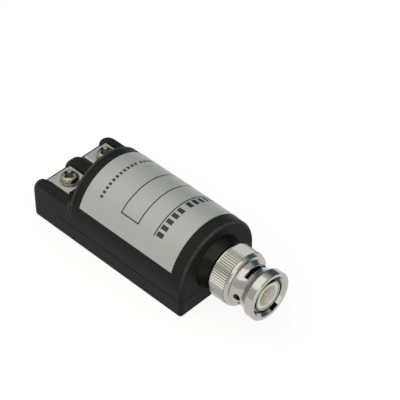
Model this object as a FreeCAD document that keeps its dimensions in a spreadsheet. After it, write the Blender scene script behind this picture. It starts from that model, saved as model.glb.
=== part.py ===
import FreeCAD, Part
import math
import os
import Sketcher
from FreeCAD import Placement, Rotation, Vector

# Video balun: a moulded housing with two screw terminals at the rear and a bayonet plug at the front.
# +X runs from the terminals to the plug, +Z is up. The origin is the centre of the housing's underside.
# Sizes are in millimetres and degrees. "From the front" means along +X from the housing's front face.

SIZES = {
    # housing
    "body_length": 54.2,
    "body_width": 26.0,
    "arch_axis": 8.4,
    "wall": 1.8,
    "front_wall": 2.5,
    "edge_round": 1.0,
    "bottom_round": 0.8,
    "bead": 1.0,
    "bead_groove": 0.3,
    "bead_depth": 0.08,
    "seam_height": 0.16,
    "seam_depth": 0.15,
    "bay_length": 14.6,
    "part_line": 5.4,
    "cover_setback": 10.2,
    "cover_floor": 1.6,
    "lip_width": 1.0,
    "lip_height": 2.0,
    "lip_gap": 0.1,
    "lip_setback": 1.0,
    "post_radius": 1.5,
    "peg_radius": 0.8,
    "peg_gap": 0.1,
    "peg_above_board": 0.4,
    "post_rear": 6.0,
    "post_front": 4.3,
    "post_inset": 2.3,
    # terminal block
    "fin_top": 12.7,
    "fin_outer": 2.6,
    "fin_middle": 4.5,
    "fin_corner": 4.6,
    "fin_round": 1.7,
    "fin_inner_round": 0.7,
    "strip_thickness": 0.8,
    "strip_gap": 0.2,
    "strip_overhang": 0.15,
    "wire_sill": 8.3,
    "tail_width": 3.0,
    "tail_gap": 0.2,
    "tail_on_board": 4.4,
    "screw_from_rear": 7.6,
    "clamp_length": 8.1,
    "clamp_gap": 0.15,
    "clamp_thickness": 1.3,
    "clamp_bevel": 0.45,
    "clamp_hole": 1.65,
    "screw_radius": 1.5,
    "screw_length": 8.5,
    "screw_fit": 0.05,
    "screw_well_gap": 0.25,
    "screw_well_floor": 2.4,
    "head_radius": 2.55,
    "head_side": 0.6,
    "head_height": 1.7,
    "head_curve": 1.5,
    "head_flat": 1.6,
    "screw_point": 0.4,
    "cross_width": 0.9,
    "cross_length": 3.1,
    "cross_depth": 1.2,
    "cross_taper": 12.0,
    # label on the arch
    "label_front": 3.85,
    "label_length": 32.5,
    "label_start": 20.0,
    "label_thickness": 0.12,
    # plug, along its axis from the housing's front face
    "neck_radius": 4.75,
    "tail_length": 9.5,
    "tail_lip": 1.0,
    "tail_bore": 2.6,
    "flange_rear": 6.3,
    "flange_front": 7.5,
    "flange_radius": 5.85,
    "shoulder": 0.5,
    "contact_radius": 4.1,
    "contact_bore": 3.7,
    "contact_tip": 16.9,
    "contact_bevel": 0.15,
    "insulator_gap": 0.04,
    "insulator_tip": 16.65,
    "mouth_radius": 2.9,
    "cavity_radius": 2.5,
    "cavity_floor": 9.5,
    "pin_radius": 0.66,
    "pin_gap": 0.04,
    "pin_tip": 16.2,
    "pin_cone": 1.0,
    "pin_point": 0.2,
    "pin_tail_radius": 0.5,
    "pin_tail": 2.2,
    "gasket_step": 0.3,
    "gasket_length": 1.0,
    "gasket_gap": 0.05,
    "gasket_play": 0.05,
    # front collar
    "collar_gap": 0.05,
    "collar_tip": 3.2,
    "collar_tip_radius": 6.95,
    "collar_curve": 9.0,
    "collar_flange_gap": 0.3,
    "collar_step": 1.1,
    "collar_flange_length": 1.5,
    "neck_gap": 0.05,
    # coupling nut
    "nut_gap": 0.3,
    "nut_front": 17.36,
    "nut_rear_bevel": 0.35,
    "knurl_start": 4.25,
    "knurl_end": 8.6,
    "knurl_radius": 7.4,
    "knurl_step": 0.22,
    "knurl_depth": 0.2,
    "knurl_run": 0.3,
    "knurl_count": 72,
    "knurl_half": 0.3,
    "knurl_over": 0.05,
    "band_front": 9.7,
    "band_bevel": 0.35,
    "sleeve_radius": 6.0,
    "sleeve_root": 0.3,
    "waist_curve": 4.5,
    "rim_rear": 14.75,
    "rim_radius": 6.73,
    "rim_bevel": 0.25,
    "rim_turn": 0.8,
    "rim_slope": 37.0,
    "mouth_bevel": 0.72,
    "nut_bore": 4.95,
    "counterbore_gap": 0.15,
    "stop_gap": 0.3,
    "ring_hold": 0.45,
    # cam slots of the coupling nut
    "cam_radius": 5.6,
    "cam_width": 2.25,
    "entry_angle": 110.0,
    "ramp_start": 12.47,
    "ramp_end": 11.3,
    "ramp_turn": 100.0,
    "detent_place": 11.65,
    "detent_turn": 108.0,
    "window_front": 12.7,
    "window_turn": 99.0,
    "window_lead": 7.0,
    # washers and rings on the plug's neck
    "ring_thickness": 0.5,
    "ring_play": 0.05,
    "ring_reach": 0.6,
    "ring_opening": 3.0,
    "washer_gap": 0.25,
    "washer_thickness": 0.4,
    "nut_play": 0.3,
    "wave_thickness": 0.2,
    "wave_count": 3,
    "lock_washer_thickness": 0.6,
    "lock_washer_radius": 6.4,
    "lock_washer_teeth": 8,
    "tooth_gap": 0.8,
    "tooth_depth": 0.8,
    "lug_thickness": 0.5,
    "lug_radius": 6.2,
    "lug_tab_inset": 3.5,
    "lug_tab_width": 2.4,
    "lug_tab_on_board": 3.0,
    "lug_ear": 2.0,
    "lock_nut_flats": 12.0,
    "lock_nut_thickness": 2.5,
    "thread_gap": 0.05,
    # board and what it carries
    "board_thickness": 1.6,
    "board_side_gap": 0.5,
    "board_gap": 0.3,
    "core_outer": 5.4,
    "core_inner": 2.8,
    "core_height": 4.0,
    "wire": 0.45,
    "wire_gap": 0.03,
    "winding_turns": 7,
    "winding_angle": 22.0,
    "capacitor_radius": 2.2,
    "capacitor_thickness": 2.2,
    "capacitor_from_front": 6.0,
    "capacitor_inset": 3.7,
    "lead_radius": 0.25,
    "foot_radius": 0.3,
    "lead_length": 0.9,
    "lead_spread": 1.2,
    "resistor_radius": 0.9,
    "resistor_length": 4.4,
    "resistor_place": 1.6,
    "resistor_pitch": 2.6,
    "resistor_reach": 3.4,
    "suppressor_radius": 3.5,
    "suppressor_thickness": 2.4,
    "suppressor_from_front": 3.6,
}


class Size:
    """A size as the formula that binds a property to the sheet, with its number."""

    def __init__(self, formula, number):
        self.formula = formula
        self.number = number

    def __add__(self, other):
        other = as_size(other)
        return Size("(%s + %s)" % (self.formula, other.formula), self.number + other.number)

    def __sub__(self, other):
        other = as_size(other)
        return Size("(%s - %s)" % (self.formula, other.formula), self.number - other.number)

    def __mul__(self, other):
        other = as_size(other)
        return Size("(%s * %s)" % (self.formula, other.formula), self.number * other.number)

    def __truediv__(self, other):
        other = as_size(other)
        return Size("(%s / %s)" % (self.formula, other.formula), self.number / other.number)

    def __neg__(self):
        return Size("(0 - %s)" % self.formula, -self.number)

    def __radd__(self, other):
        return as_size(other) + self

    def __rsub__(self, other):
        return as_size(other) - self


def as_size(value):
    return value if isinstance(value, Size) else Size("%.6g" % value, float(value))


doc = FreeCAD.newDocument("video_balun")
sheet = doc.addObject("Spreadsheet::Sheet", "Sizes")
for row, (alias, number) in enumerate(SIZES.items(), start=1):
    sheet.set("A%d" % row, alias)
    sheet.set("B%d" % row, str(number))
    sheet.setAlias("B%d" % row, alias)
doc.recompute()


class Sizes:
    """Every size of the sheet by its name, such as size.wall."""

    def __getattr__(self, name):
        return Size("Sizes." + name, float(SIZES[name]))


size = Sizes()
AROUND_X = Rotation(Vector(0, 1, 0), 90)
AROUND_Y = Rotation(Vector(1, 0, 0), -90)
Z_TO_X = Rotation(Vector(1, 1, 1), 120)
UPRIGHT = Rotation()
PAST = 1.0  # how far a cutting piece runs past the face it opens
ROOT = 0.5  # how deep a joined piece is rooted in the one that carries it

# main planes of the housing
front = size.body_length / 2
rear = -front
half_width = size.body_width / 2
arch_rear = rear + size.bay_length
cover_rear = rear + size.cover_setback
cavity_rear = arch_rear + size.wall
wall_inside = front - size.front_wall
inner_half = half_width - size.wall
lip_inner = inner_half - size.lip_gap - size.lip_width
plug_axis = (size.arch_axis + half_width) / 2
collar_flange = size.arch_axis + inner_half - plug_axis - size.collar_flange_gap
collar_hole = collar_flange - size.collar_step
lip_front = wall_inside - size.collar_flange_length - size.lip_setback

# the two terminals, mirrored about the housing's middle plane
pocket_width = half_width - size.fin_outer - size.fin_middle / 2
terminal_side = size.fin_middle / 2 + pocket_width / 2
screw_x = rear + size.screw_from_rear
strip_rear = screw_x - size.clamp_length / 2 - size.strip_overhang
board_top = plug_axis - size.pin_tail_radius
strip_top = board_top + size.strip_thickness
clamp_top = strip_top + size.clamp_thickness

# faces of the plug's pieces, from the front
collar_rear = -size.front_wall - size.collar_flange_length
lock_washer_rear = collar_rear - size.lock_washer_thickness
lug_rear = lock_washer_rear - size.lug_thickness
lock_nut_rear = lug_rear - size.lock_nut_thickness
gasket_rear = size.flange_front + size.shoulder
gasket_front = gasket_rear + size.gasket_length
wave_rear = size.flange_rear - size.wave_thickness * 2
washer_front = wave_rear - size.nut_play
washer_rear = washer_front - size.washer_thickness
ring_rear = washer_rear - size.ring_thickness
nut_rear = size.collar_tip + size.nut_gap
nut_stop = size.flange_front + size.stop_gap
counterbore = size.flange_radius + size.counterbore_gap
ring_groove = counterbore + size.ring_hold
ring_inner = counterbore - size.ring_reach
washer_inner = size.neck_radius + size.washer_gap
gasket_seat = size.contact_radius + size.gasket_step
band_radius = size.knurl_radius - size.knurl_step

# board
board_rear = cavity_rear + size.board_gap
board_front = front - size.tail_length - size.board_gap
board_bottom = board_top - size.board_thickness
board_half = inner_half - size.board_side_gap
lug_tab_inner = board_half - size.lug_tab_inset


def bind(thing, **formulas):
    """Bind properties of an object to sizes; a double underscore in a name stands for a dot."""
    for name, value in formulas.items():
        value = as_size(value)
        thing.setExpression(name.replace("__", "."), value.formula)


def place(thing, x=0, y=0, z=0, turn=UPRIGHT):
    thing.Placement = Placement(Vector(as_size(x).number, as_size(y).number, as_size(z).number), turn)
    bind(thing, Placement__Base__x=x, Placement__Base__y=y, Placement__Base__z=z)
    return thing


def box(name, x, y, z):
    """Box between two values on each axis."""
    block = doc.addObject("Part::Box", name)
    bind(block, Length=x[1] - x[0], Width=y[1] - y[0], Height=z[1] - z[0])
    return place(block, x[0], y[0], z[0])


def cylinder(name, radius, length, x=0, y=0, z=0, turn=UPRIGHT):
    rod = doc.addObject("Part::Cylinder", name)
    bind(rod, Radius=radius, Height=length)
    return place(rod, x, y, z, turn)


def fuse(name, shapes):
    joined = doc.addObject("Part::MultiFuse", name)
    joined.Shapes = shapes
    joined.Refine = True
    return joined


def cut(name, base, *tools):
    carved = doc.addObject("Part::Cut", name)
    carved.Base = base
    carved.Tool = tools[0] if len(tools) == 1 else fuse(name + "_tools", list(tools))
    carved.Refine = True
    return carved


def common(name, *shapes):
    shared = doc.addObject("Part::MultiCommon", name)
    shared.Shapes = list(shapes)
    shared.Refine = True
    return shared


def ring(name, outer, inner, start, end):
    """Flat ring around the plug's axis, between two places from the front."""
    disc = cylinder(name + "_disc", outer, end - start, x=start, turn=AROUND_X)
    hole = cylinder(name + "_hole", inner, end - start + 2 * PAST, x=start - PAST, turn=AROUND_X)
    return cut(name + "_ring", disc, hole)


def plane_of(body, role):
    return next(item for item in body.Origin.OriginFeatures if item.Role == role)


def new_sketch(body, name, role, offset=None):
    sketch = body.newObject("Sketcher::SketchObject", name)
    sketch.AttachmentSupport = [(plane_of(body, role), "")]
    sketch.MapMode = "FlatFace"
    if offset is not None:
        sketch.setExpression("AttachmentOffset.Base.z", as_size(offset).formula)
    return sketch


def arc_between(start, end, radius):
    """Arc of less than half a turn; a positive radius bends to the left of the way from start to end."""
    chord = end - start
    side = Vector(-chord.y, chord.x, 0).normalize()
    height = math.sqrt(max(radius * radius - chord.Length * chord.Length / 4, 0))
    centre = start + chord * 0.5 + side * math.copysign(height, radius)
    first, last = (start, end) if radius > 0 else (end, start)
    angles = [math.atan2(point.y - centre.y, point.x - centre.x) for point in (first, last)]
    circle = Part.Circle(centre, Vector(0, 0, 1), abs(radius))
    return Part.ArcOfCircle(circle, *angles)


def draw_outline(sketch, corners):
    """Closed outline through corners (u, v); a third item is the radius of the arc to the next corner."""
    points = [Vector(as_size(c[0]).number, as_size(c[1]).number, 0) for c in corners]
    ends = []
    for i, corner in enumerate(corners):
        following = points[(i + 1) % len(points)]
        if len(corner) == 2:
            edge = sketch.addGeometry(Part.LineSegment(points[i], following), False)
            ends.append((edge, 1, 2))
            continue
        edge = sketch.addGeometry(arc_between(points[i], following, corner[2].number), False)
        ends.append((edge, 1, 2) if corner[2].number > 0 else (edge, 2, 1))
        radius = sketch.addConstraint(Sketcher.Constraint("Radius", edge, abs(corner[2].number)))
        formula = corner[2] if corner[2].number > 0 else -corner[2]
        sketch.setExpression("Constraints[%d]" % radius, formula.formula)
    for i, (edge, first, last) in enumerate(ends):
        after = ends[(i + 1) % len(ends)]
        sketch.addConstraint(Sketcher.Constraint("Coincident", edge, last, after[0], after[1]))
        for kind, value, axis in (("DistanceX", corners[i][0], -2), ("DistanceY", corners[i][1], -1)):
            value = as_size(value)
            if value.formula == "0":
                sketch.addConstraint(Sketcher.Constraint("PointOnObject", edge, first, axis))
                continue
            datum = sketch.addConstraint(Sketcher.Constraint(kind, -1, 1, edge, first, value.number))
            sketch.setExpression("Constraints[%d]" % datum, value.formula)


def turned(name, corners, upright=False):
    """Body turned about its X axis from corners (place, radius), or about its Z axis where upright."""
    body = doc.addObject("PartDesign::Body", name)
    sketch = new_sketch(body, name + "_profile", "XZ_Plane")
    if upright:
        corners = [(corner[1], corner[0]) + tuple(corner[2:]) for corner in corners]
    draw_outline(sketch, corners)
    solid = body.newObject("PartDesign::Revolution", name + "_turned")
    solid.Profile = sketch
    solid.ReferenceAxis = (sketch, ["V_Axis" if upright else "H_Axis"])
    solid.Angle = 360
    return body


def padded(name, role, corners, start, length):
    """Body with one outline raised from a plane, from start over length along the plane's normal."""
    body = doc.addObject("PartDesign::Body", name)
    sketch = new_sketch(body, name + "_outline", role, start)
    draw_outline(sketch, corners)
    solid = body.newObject("PartDesign::Pad", name + "_pad")
    solid.Profile = sketch
    bind(solid, Length=length)
    return body


def edges_where(shape, test):
    """Names of the edges whose two ends and middle all pass the test."""
    names = []
    for i, edge in enumerate(shape.Edges, start=1):
        middle = edge.valueAt((edge.FirstParameter + edge.LastParameter) / 2)
        if all(test(point) for point in [vertex.Point for vertex in edge.Vertexes] + [middle]):
            names.append("Edge%d" % i)
    return names


def dress(body, kind, names, **formulas):
    """Fillet or chamfer on edges of the body's last feature."""
    base = body.Tip
    dressing = body.newObject("PartDesign::" + kind, body.Name + "_" + kind.lower())
    dressing.Base = (base, names)
    bind(dressing, **formulas)
    body.Tip = dressing
    return dressing


NODES = []


def node(label, solid):
    """Name a finished piece, which names its file."""
    solid.Label = label
    NODES.append(solid)
    return solid


def on_plug_axis(label, solid, turn=UPRIGHT):
    return node(label, place(solid, front, 0, plug_axis, turn))


def housing_outline(inset):
    """Section of the housing across X: an arch on straight sides, brought in by inset all round."""
    side = half_width - inset
    if as_size(inset).number > 0:
        return [(-side, inset), (side, inset), (side, size.arch_axis, side), (0, size.arch_axis + side, side),
                (-side, size.arch_axis)]
    turn = size.bottom_round
    return [(turn - side, 0), (side - turn, 0, turn), (side, turn), (side, size.arch_axis, side),
            (0, size.arch_axis + side, side), (-side, size.arch_axis), (-side, turn, turn)]


def hull(name, start):
    """Outer form of the housing from start to the front face, whose edges are rounded."""
    body = padded(name, "YZ_Plane", housing_outline(0), start, front - start)
    doc.recompute()
    at_front = edges_where(body.Shape, lambda point: abs(point.x - front.number) < 0.001)
    dress(body, "Fillet", at_front, Radius=size.edge_round)
    return body


def collar_opening(name):
    """Round hole through the front wall, which the collar's barrel fills."""
    return cylinder(name, collar_hole, size.front_wall + 2 * PAST, x=wall_inside - PAST, z=plug_axis,
                    turn=AROUND_X)


def bead_cut(name, start):
    """Shallow groove over the arch, down to the fins, that sets off the bead at its end."""
    slab = box(name + "_slab", (start, start + size.bead_groove), (-size.body_width, size.body_width),
               (size.fin_top, size.fin_top + size.body_width))
    core = cylinder(name + "_core", half_width - size.bead_depth, size.bead_groove + 2 * PAST,
                    x=start - PAST, z=size.arch_axis, turn=AROUND_X)
    return cut(name, slab, core)


def block_foot():
    """Lower part of the terminal block, behind the cover."""
    turn = size.fin_round
    foot = padded("block_foot", "XY_Plane", [
        (cover_rear, -half_width), (cover_rear, half_width), (rear + turn, half_width, turn),
        (rear, half_width - turn), (rear, turn - half_width, turn), (rear + turn, -half_width),
    ], 0, size.part_line)
    doc.recompute()
    heel = edges_where(foot.Shape, lambda point: abs(point.z) < 0.001 and abs(point.x - rear.number) < 0.001)
    dress(foot, "Fillet", heel, Radius=size.bottom_round)
    return foot


def block_fins():
    """Upper part of the terminal block: two open pockets between three fins with rounded tops."""
    fins = padded("block_fins", "XZ_Plane", [
        (rear, size.part_line), (arch_rear, size.part_line), (arch_rear, size.fin_top),
        (rear + size.fin_corner, size.fin_top, size.fin_corner), (rear, size.fin_top - size.fin_corner),
    ], -half_width, size.body_width)
    for side, sign in (("left", 1), ("right", -1)):
        far_side = terminal_side * sign + pocket_width / 2
        sketch = new_sketch(fins, "pocket_outline_" + side, "XZ_Plane", -far_side)
        draw_outline(sketch, [
            (rear - PAST, size.wire_sill), (rear, size.wire_sill), (strip_rear, board_top),
            (arch_rear + PAST, board_top), (arch_rear + PAST, size.fin_top + PAST),
            (rear - PAST, size.fin_top + PAST),
        ])
        pocket = fins.newObject("PartDesign::Pocket", "pocket_" + side)
        pocket.Profile = sketch
        pocket.Reversed = True
        bind(pocket, Length=pocket_width)
        fins.Tip = pocket
    doc.recompute()
    for places, radius in (((half_width, size.fin_middle / 2), size.fin_round),
                           ((half_width - size.fin_outer,), size.fin_inner_round)):
        top_edges = edges_where(fins.Shape, lambda point: abs(point.z - size.fin_top.number) < 0.001
                                and any(abs(abs(point.y) - place.number) < 0.001 for place in places))
        dress(fins, "Fillet", top_edges, Radius=radius)
        doc.recompute()
    return fins


def make_top_shell():
    reach = size.body_width
    arch = common("arch", hull("arch_hull", arch_rear),
                  box("arch_slab", (arch_rear - PAST, front + PAST), (-reach, reach),
                      (size.part_line, size.part_line + reach)))
    cavity = padded("cavity", "YZ_Plane", [
        (-inner_half, -PAST), (inner_half, -PAST), (inner_half, size.arch_axis, inner_half),
        (0, size.arch_axis + inner_half, inner_half), (-inner_half, size.arch_axis),
    ], cavity_rear, wall_inside - cavity_rear)
    tools = [cavity, collar_opening("shell_opening"), bead_cut("rear_bead", arch_rear + size.bead)]
    for side, sign in (("left", 1), ("right", -1)):
        middle = terminal_side * sign
        slot = size.tail_width / 2 + size.tail_gap
        tools.append(box("tail_slot_" + side, (arch_rear - PAST, cavity_rear + PAST),
                         (middle - slot, middle + slot), (board_top, strip_top + size.tail_gap)))
        tools.append(cylinder("screw_well_" + side, size.screw_radius + size.screw_well_gap,
                              board_top - size.screw_well_floor + PAST, x=screw_x, y=middle,
                              z=size.screw_well_floor))
    node("top_shell", cut("top_shell", fuse("shell_outside", [arch, block_foot(), block_fins()]), *tools))


def post_places():
    """Middles of the four posts that carry the board."""
    return [(x, (board_half - size.post_inset) * sign)
            for x in (board_rear + size.post_rear, board_front - size.post_front) for sign in (1, -1)]


def make_bottom_cover():
    reach = size.body_width
    tray = common("tray", hull("cover_hull", cover_rear),
                  box("cover_slab", (cover_rear, front + PAST), (-reach, reach),
                      (as_size(-PAST), size.part_line)))
    hollow = box("cover_hollow", (cover_rear + size.wall, wall_inside), (-lip_inner, lip_inner),
                 (size.cover_floor, size.part_line + PAST))
    seam_slab = box("seam_slab", (cover_rear - PAST, front + PAST), (-reach, reach),
                    (size.part_line - size.seam_height, size.part_line + PAST))
    seam_core = padded("seam_core", "YZ_Plane", housing_outline(size.seam_depth), cover_rear - 2 * PAST,
                       front - cover_rear + 2 * PAST - size.seam_depth)
    shell = cut("cover_shell", tray, hollow, collar_opening("cover_opening"),
                cut("cover_seam", seam_slab, seam_core))
    parts = [shell]
    for side, sign in (("left", 1), ("right", -1)):
        edges = (lip_inner * sign, (lip_inner + size.lip_width) * sign)
        near, far = sorted(edges, key=lambda edge: edge.number)
        parts.append(box("lip_" + side, (cavity_rear + size.lip_gap, lip_front), (near, far),
                         (size.part_line - ROOT, size.part_line + size.lip_height)))
    for i, (x, y) in enumerate(post_places()):
        post_length = board_bottom - size.cover_floor + ROOT
        peg_length = size.board_thickness + size.peg_above_board + ROOT
        parts.append(cylinder("post_%d" % i, size.post_radius, post_length, x=x, y=y,
                              z=size.cover_floor - ROOT))
        parts.append(cylinder("peg_%d" % i, size.peg_radius, peg_length, x=x, y=y, z=board_bottom - ROOT))
    node("bottom_cover", fuse("bottom_cover", parts))


def make_label():
    start = front - size.label_front - size.label_length
    film = cylinder("label_film", half_width + size.label_thickness, size.label_length, x=start,
                    z=size.arch_axis, turn=Rotation(Vector(1, 0, 0), size.label_start.number) * Z_TO_X)
    bind(film, Angle=180 - size.label_start * 2)
    core = cylinder("label_core", half_width, size.label_length + 2 * PAST, x=start - PAST, z=size.arch_axis,
                    turn=AROUND_X)
    node("label", cut("label", film, core))


def make_collar():
    bore = size.neck_radius + size.neck_gap
    barrel = collar_hole - size.collar_gap
    on_plug_axis("front_collar", turned("front_collar", [
        (collar_rear, bore), (size.collar_tip, bore),
        (size.collar_tip, size.collar_tip_radius, -size.collar_curve), (0, barrel),
        (-size.front_wall, barrel), (-size.front_wall, collar_flange), (collar_rear, collar_flange),
    ]))


def make_connector():
    tail = -size.tail_length
    on_plug_axis("connector_body", turned("connector_body", [
        (tail, size.tail_bore), (tail + size.tail_lip, size.tail_bore),
        (tail + size.tail_lip, size.contact_bore), (size.contact_tip, size.contact_bore),
        (size.contact_tip, size.contact_radius - size.contact_bevel),
        (size.contact_tip - size.contact_bevel, size.contact_radius), (gasket_front, size.contact_radius),
        (gasket_front, gasket_seat), (gasket_rear, gasket_seat),
        (gasket_rear, size.neck_radius), (size.flange_front, size.neck_radius),
        (size.flange_front, size.flange_radius), (size.flange_rear, size.flange_radius),
        (size.flange_rear, size.neck_radius), (tail, size.neck_radius),
    ]))
    seat = tail + size.tail_lip
    bore = size.pin_radius + size.pin_gap
    outside = size.contact_bore - size.insulator_gap
    on_plug_axis("insulator", turned("insulator", [
        (seat, bore), (size.cavity_floor, bore), (size.cavity_floor, size.cavity_radius),
        (size.insulator_tip, size.mouth_radius), (size.insulator_tip, outside), (seat, outside),
    ]))
    tip = size.pin_tip
    on_plug_axis("centre_pin", turned("centre_pin", [
        (tail - size.pin_tail, 0), (tip, 0), (tip, size.pin_point), (tip - size.pin_cone, size.pin_radius),
        (tail, size.pin_radius), (tail, size.pin_tail_radius), (tail - size.pin_tail, size.pin_tail_radius),
    ]))
    on_plug_axis("gasket", ring("gasket", size.nut_bore - size.gasket_play, gasket_seat + size.gasket_gap,
                                gasket_rear, gasket_front))


def nut_blank():
    """The nut's turned form with its straight knurl, before the cam slots are cut."""
    slope = math.radians(SIZES["rim_slope"])
    turn_end = size.rim_rear + size.rim_turn * math.sin(slope)
    turn_foot = size.rim_radius - size.rim_turn * (1 - math.cos(slope))
    body = turned("nut_blank", [
        (nut_rear, counterbore), (ring_rear - size.ring_play, counterbore),
        (ring_rear - size.ring_play, ring_groove), (washer_rear + size.ring_play, ring_groove),
        (washer_rear + size.ring_play, counterbore), (nut_stop, counterbore),
        (nut_stop, size.nut_bore), (size.nut_front - size.mouth_bevel, size.nut_bore),
        (size.nut_front, size.nut_bore + size.mouth_bevel),
        (size.nut_front, size.rim_radius - size.rim_bevel),
        (size.nut_front - size.rim_bevel, size.rim_radius), (turn_end, size.rim_radius, size.rim_turn),
        (size.rim_rear, turn_foot, -size.waist_curve),
        (size.band_front + size.sleeve_root, size.sleeve_radius, -size.sleeve_root),
        (size.band_front, size.sleeve_radius + size.sleeve_root),
        (size.band_front, band_radius - size.band_bevel), (size.band_front - size.band_bevel, band_radius),
        (size.knurl_end, band_radius), (size.knurl_end, size.knurl_radius),
        (size.knurl_start, size.knurl_radius), (size.knurl_start, band_radius),
        (nut_rear + size.nut_rear_bevel, band_radius), (nut_rear, band_radius - size.nut_rear_bevel),
    ])
    sketch = new_sketch(body, "knurl_groove", "YZ_Plane", size.knurl_start - size.knurl_run)
    draw_outline(sketch, [
        (0, size.knurl_radius - size.knurl_depth), (size.knurl_half, size.knurl_radius + size.knurl_over),
        (-size.knurl_half, size.knurl_radius + size.knurl_over),
    ])
    groove = body.newObject("PartDesign::Pocket", "knurl_pocket")
    groove.Profile = sketch
    groove.Reversed = True
    bind(groove, Length=size.knurl_end - size.knurl_start + size.knurl_run * 2)
    knurl = body.newObject("PartDesign::PolarPattern", "knurl")
    knurl.Originals = [groove]
    knurl.Axis = (plane_of(body, "X_Axis"), [""])
    knurl.Angle = 360
    bind(knurl, Occurrences=size.knurl_count)
    body.Tip = knurl
    return body


def cam_slot(name, turn, angle):
    """One cam slot: the lug's way in, the ramp, its window through the waist and the detent hole."""
    inside = size.nut_bore - ROOT
    half = size.cam_width / 2
    entry = box(name + "_entry", (size.ramp_start - half, size.nut_front + PAST), (inside, size.cam_radius),
                (-half, half))

    spine = doc.addObject("Part::Helix", name + "_spine")
    rise = size.ramp_start - size.ramp_end
    bind(spine, Radius=size.nut_bore, Height=rise, Pitch=rise * 360 / size.ramp_turn)
    section = doc.addObject("Part::Plane", name + "_section")
    bind(section, Length=size.cam_radius - inside, Width=size.cam_width)
    place(section, inside, 0, -half, Rotation(Vector(1, 0, 0), 90))
    ramp = doc.addObject("Part::Sweep", name + "_ramp")
    ramp.Sections = [section]
    ramp.Spine = (spine, [])
    ramp.Solid = True
    ramp.Frenet = True
    place(ramp, size.ramp_end, 0, 0, Rotation(Vector(1, 0, 0), -size.ramp_turn.number) * Z_TO_X)

    detent = cylinder(name + "_detent", half, size.knurl_radius, x=size.detent_place,
                      turn=Rotation(Vector(1, 0, 0), -size.detent_turn.number) * AROUND_Y)
    window = cylinder(name + "_window", size.knurl_radius, size.window_front - size.ramp_start + half,
                      x=size.ramp_start - half,
                      turn=Rotation(Vector(1, 0, 0), SIZES["window_lead"] - SIZES["window_turn"]) * Z_TO_X)
    bind(window, Angle=size.window_turn)
    slot = fuse(name, [entry, ramp, detent, window])
    slot.Placement = Placement(Vector(), Rotation(Vector(turn, 0, 0), angle.number))
    bind(slot, Placement__Rotation__Angle=angle)
    return slot


def make_nut():
    upper = cam_slot("cam_slot_upper", 1, size.entry_angle)
    lower = cam_slot("cam_slot_lower", -1, 180 - size.entry_angle)
    on_plug_axis("coupling_nut", cut("coupling_nut", nut_blank(), upper, lower))


def wave_ring(inner, outer, start, thickness, waves):
    """Washer bent into waves round the X axis, as high as it is thick."""
    rims = []
    steps = waves * 4
    for radius in (inner, outer):
        points = []
        for i in range(steps):
            angle = 2 * math.pi * i / steps
            lift = thickness * (1 - math.cos(waves * angle)) / 2
            points.append(Vector(start + lift, radius * math.cos(angle), radius * math.sin(angle)))
        curve = Part.BSplineCurve()
        curve.interpolate(Points=points, PeriodicFlag=True)
        rims.append(Part.Edge(curve))
    return Part.makeRuledSurface(*rims).extrude(Vector(thickness, 0, 0))


def make_neck_pieces():
    """Washers, rings, lug and lock nut that ride on the connector body's neck."""
    closed = ring("snap_ring", ring_groove - size.ring_play, ring_inner, ring_rear, washer_rear)
    opening = box("snap_opening", (ring_rear - PAST, washer_rear + PAST), (as_size(0), ring_groove + PAST),
                  (-size.ring_opening / 2, size.ring_opening / 2))
    on_plug_axis("retaining_ring", cut("retaining_ring", closed, opening))
    on_plug_axis("thrust_washer", ring("thrust_washer", size.flange_radius, washer_inner, washer_rear,
                                       washer_front))

    wave = doc.addObject("Part::Feature", "wave_washer")
    thickness = size.wave_thickness.number
    wave.Shape = wave_ring(washer_inner.number, size.flange_radius.number, wave_rear.number, thickness,
                           SIZES["wave_count"])
    on_plug_axis("wave_washer", wave)

    bore = size.neck_radius + size.neck_gap
    toothed = ring("lock_washer", size.lock_washer_radius, bore, lock_washer_rear, collar_rear)
    half_gap = size.tooth_gap / 2
    gaps = []
    for i in range(SIZES["lock_washer_teeth"]):
        gap = doc.addObject("Part::Wedge", "tooth_gap_%d" % i)
        bind(gap, Xmin=-half_gap, Xmax=half_gap, X2min=-half_gap, X2max=half_gap,
             Ymin=0, Ymax=bore + size.tooth_depth, Zmin=lock_washer_rear - PAST, Zmax=collar_rear + PAST,
             Z2min=lock_washer_rear - PAST, Z2max=collar_rear + PAST)
        turn = Rotation(Vector(1, 0, 0), 360 * i / SIZES["lock_washer_teeth"])
        gap.Placement = Placement(Vector(), turn * Z_TO_X)
        gaps.append(gap)
    on_plug_axis("lock_washer", cut("lock_washer", toothed, *gaps))

    level = board_top - plug_axis
    edge = lug_tab_inner + size.lug_tab_width
    eye = ring("lug_eye", size.lug_radius, bore, lug_rear, lock_washer_rear)
    ear = box("lug_ear", (lug_rear, lock_washer_rear), (bore + ROOT, edge), (level, level + size.lug_ear))
    tab = box("lug_tab", (board_front - front - size.lug_tab_on_board, lock_washer_rear),
              (lug_tab_inner, edge), (level, level + size.lug_thickness))
    on_plug_axis("ground_lug", fuse("ground_lug", [eye, ear, tab]))

    hexagon = doc.addObject("Part::Prism", "lock_nut_hexagon")
    hexagon.Polygon = 6
    bind(hexagon, Circumradius=size.lock_nut_flats / (2 * math.cos(math.pi / 6)),
         Height=size.lock_nut_thickness)
    place(hexagon, lock_nut_rear, 0, 0, AROUND_X)
    thread = cylinder("lock_nut_bore", size.neck_radius + size.thread_gap, size.lock_nut_thickness + 2 * PAST,
                      x=lock_nut_rear - PAST, turn=AROUND_X)
    on_plug_axis("lock_nut", cut("lock_nut", hexagon, thread))


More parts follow.
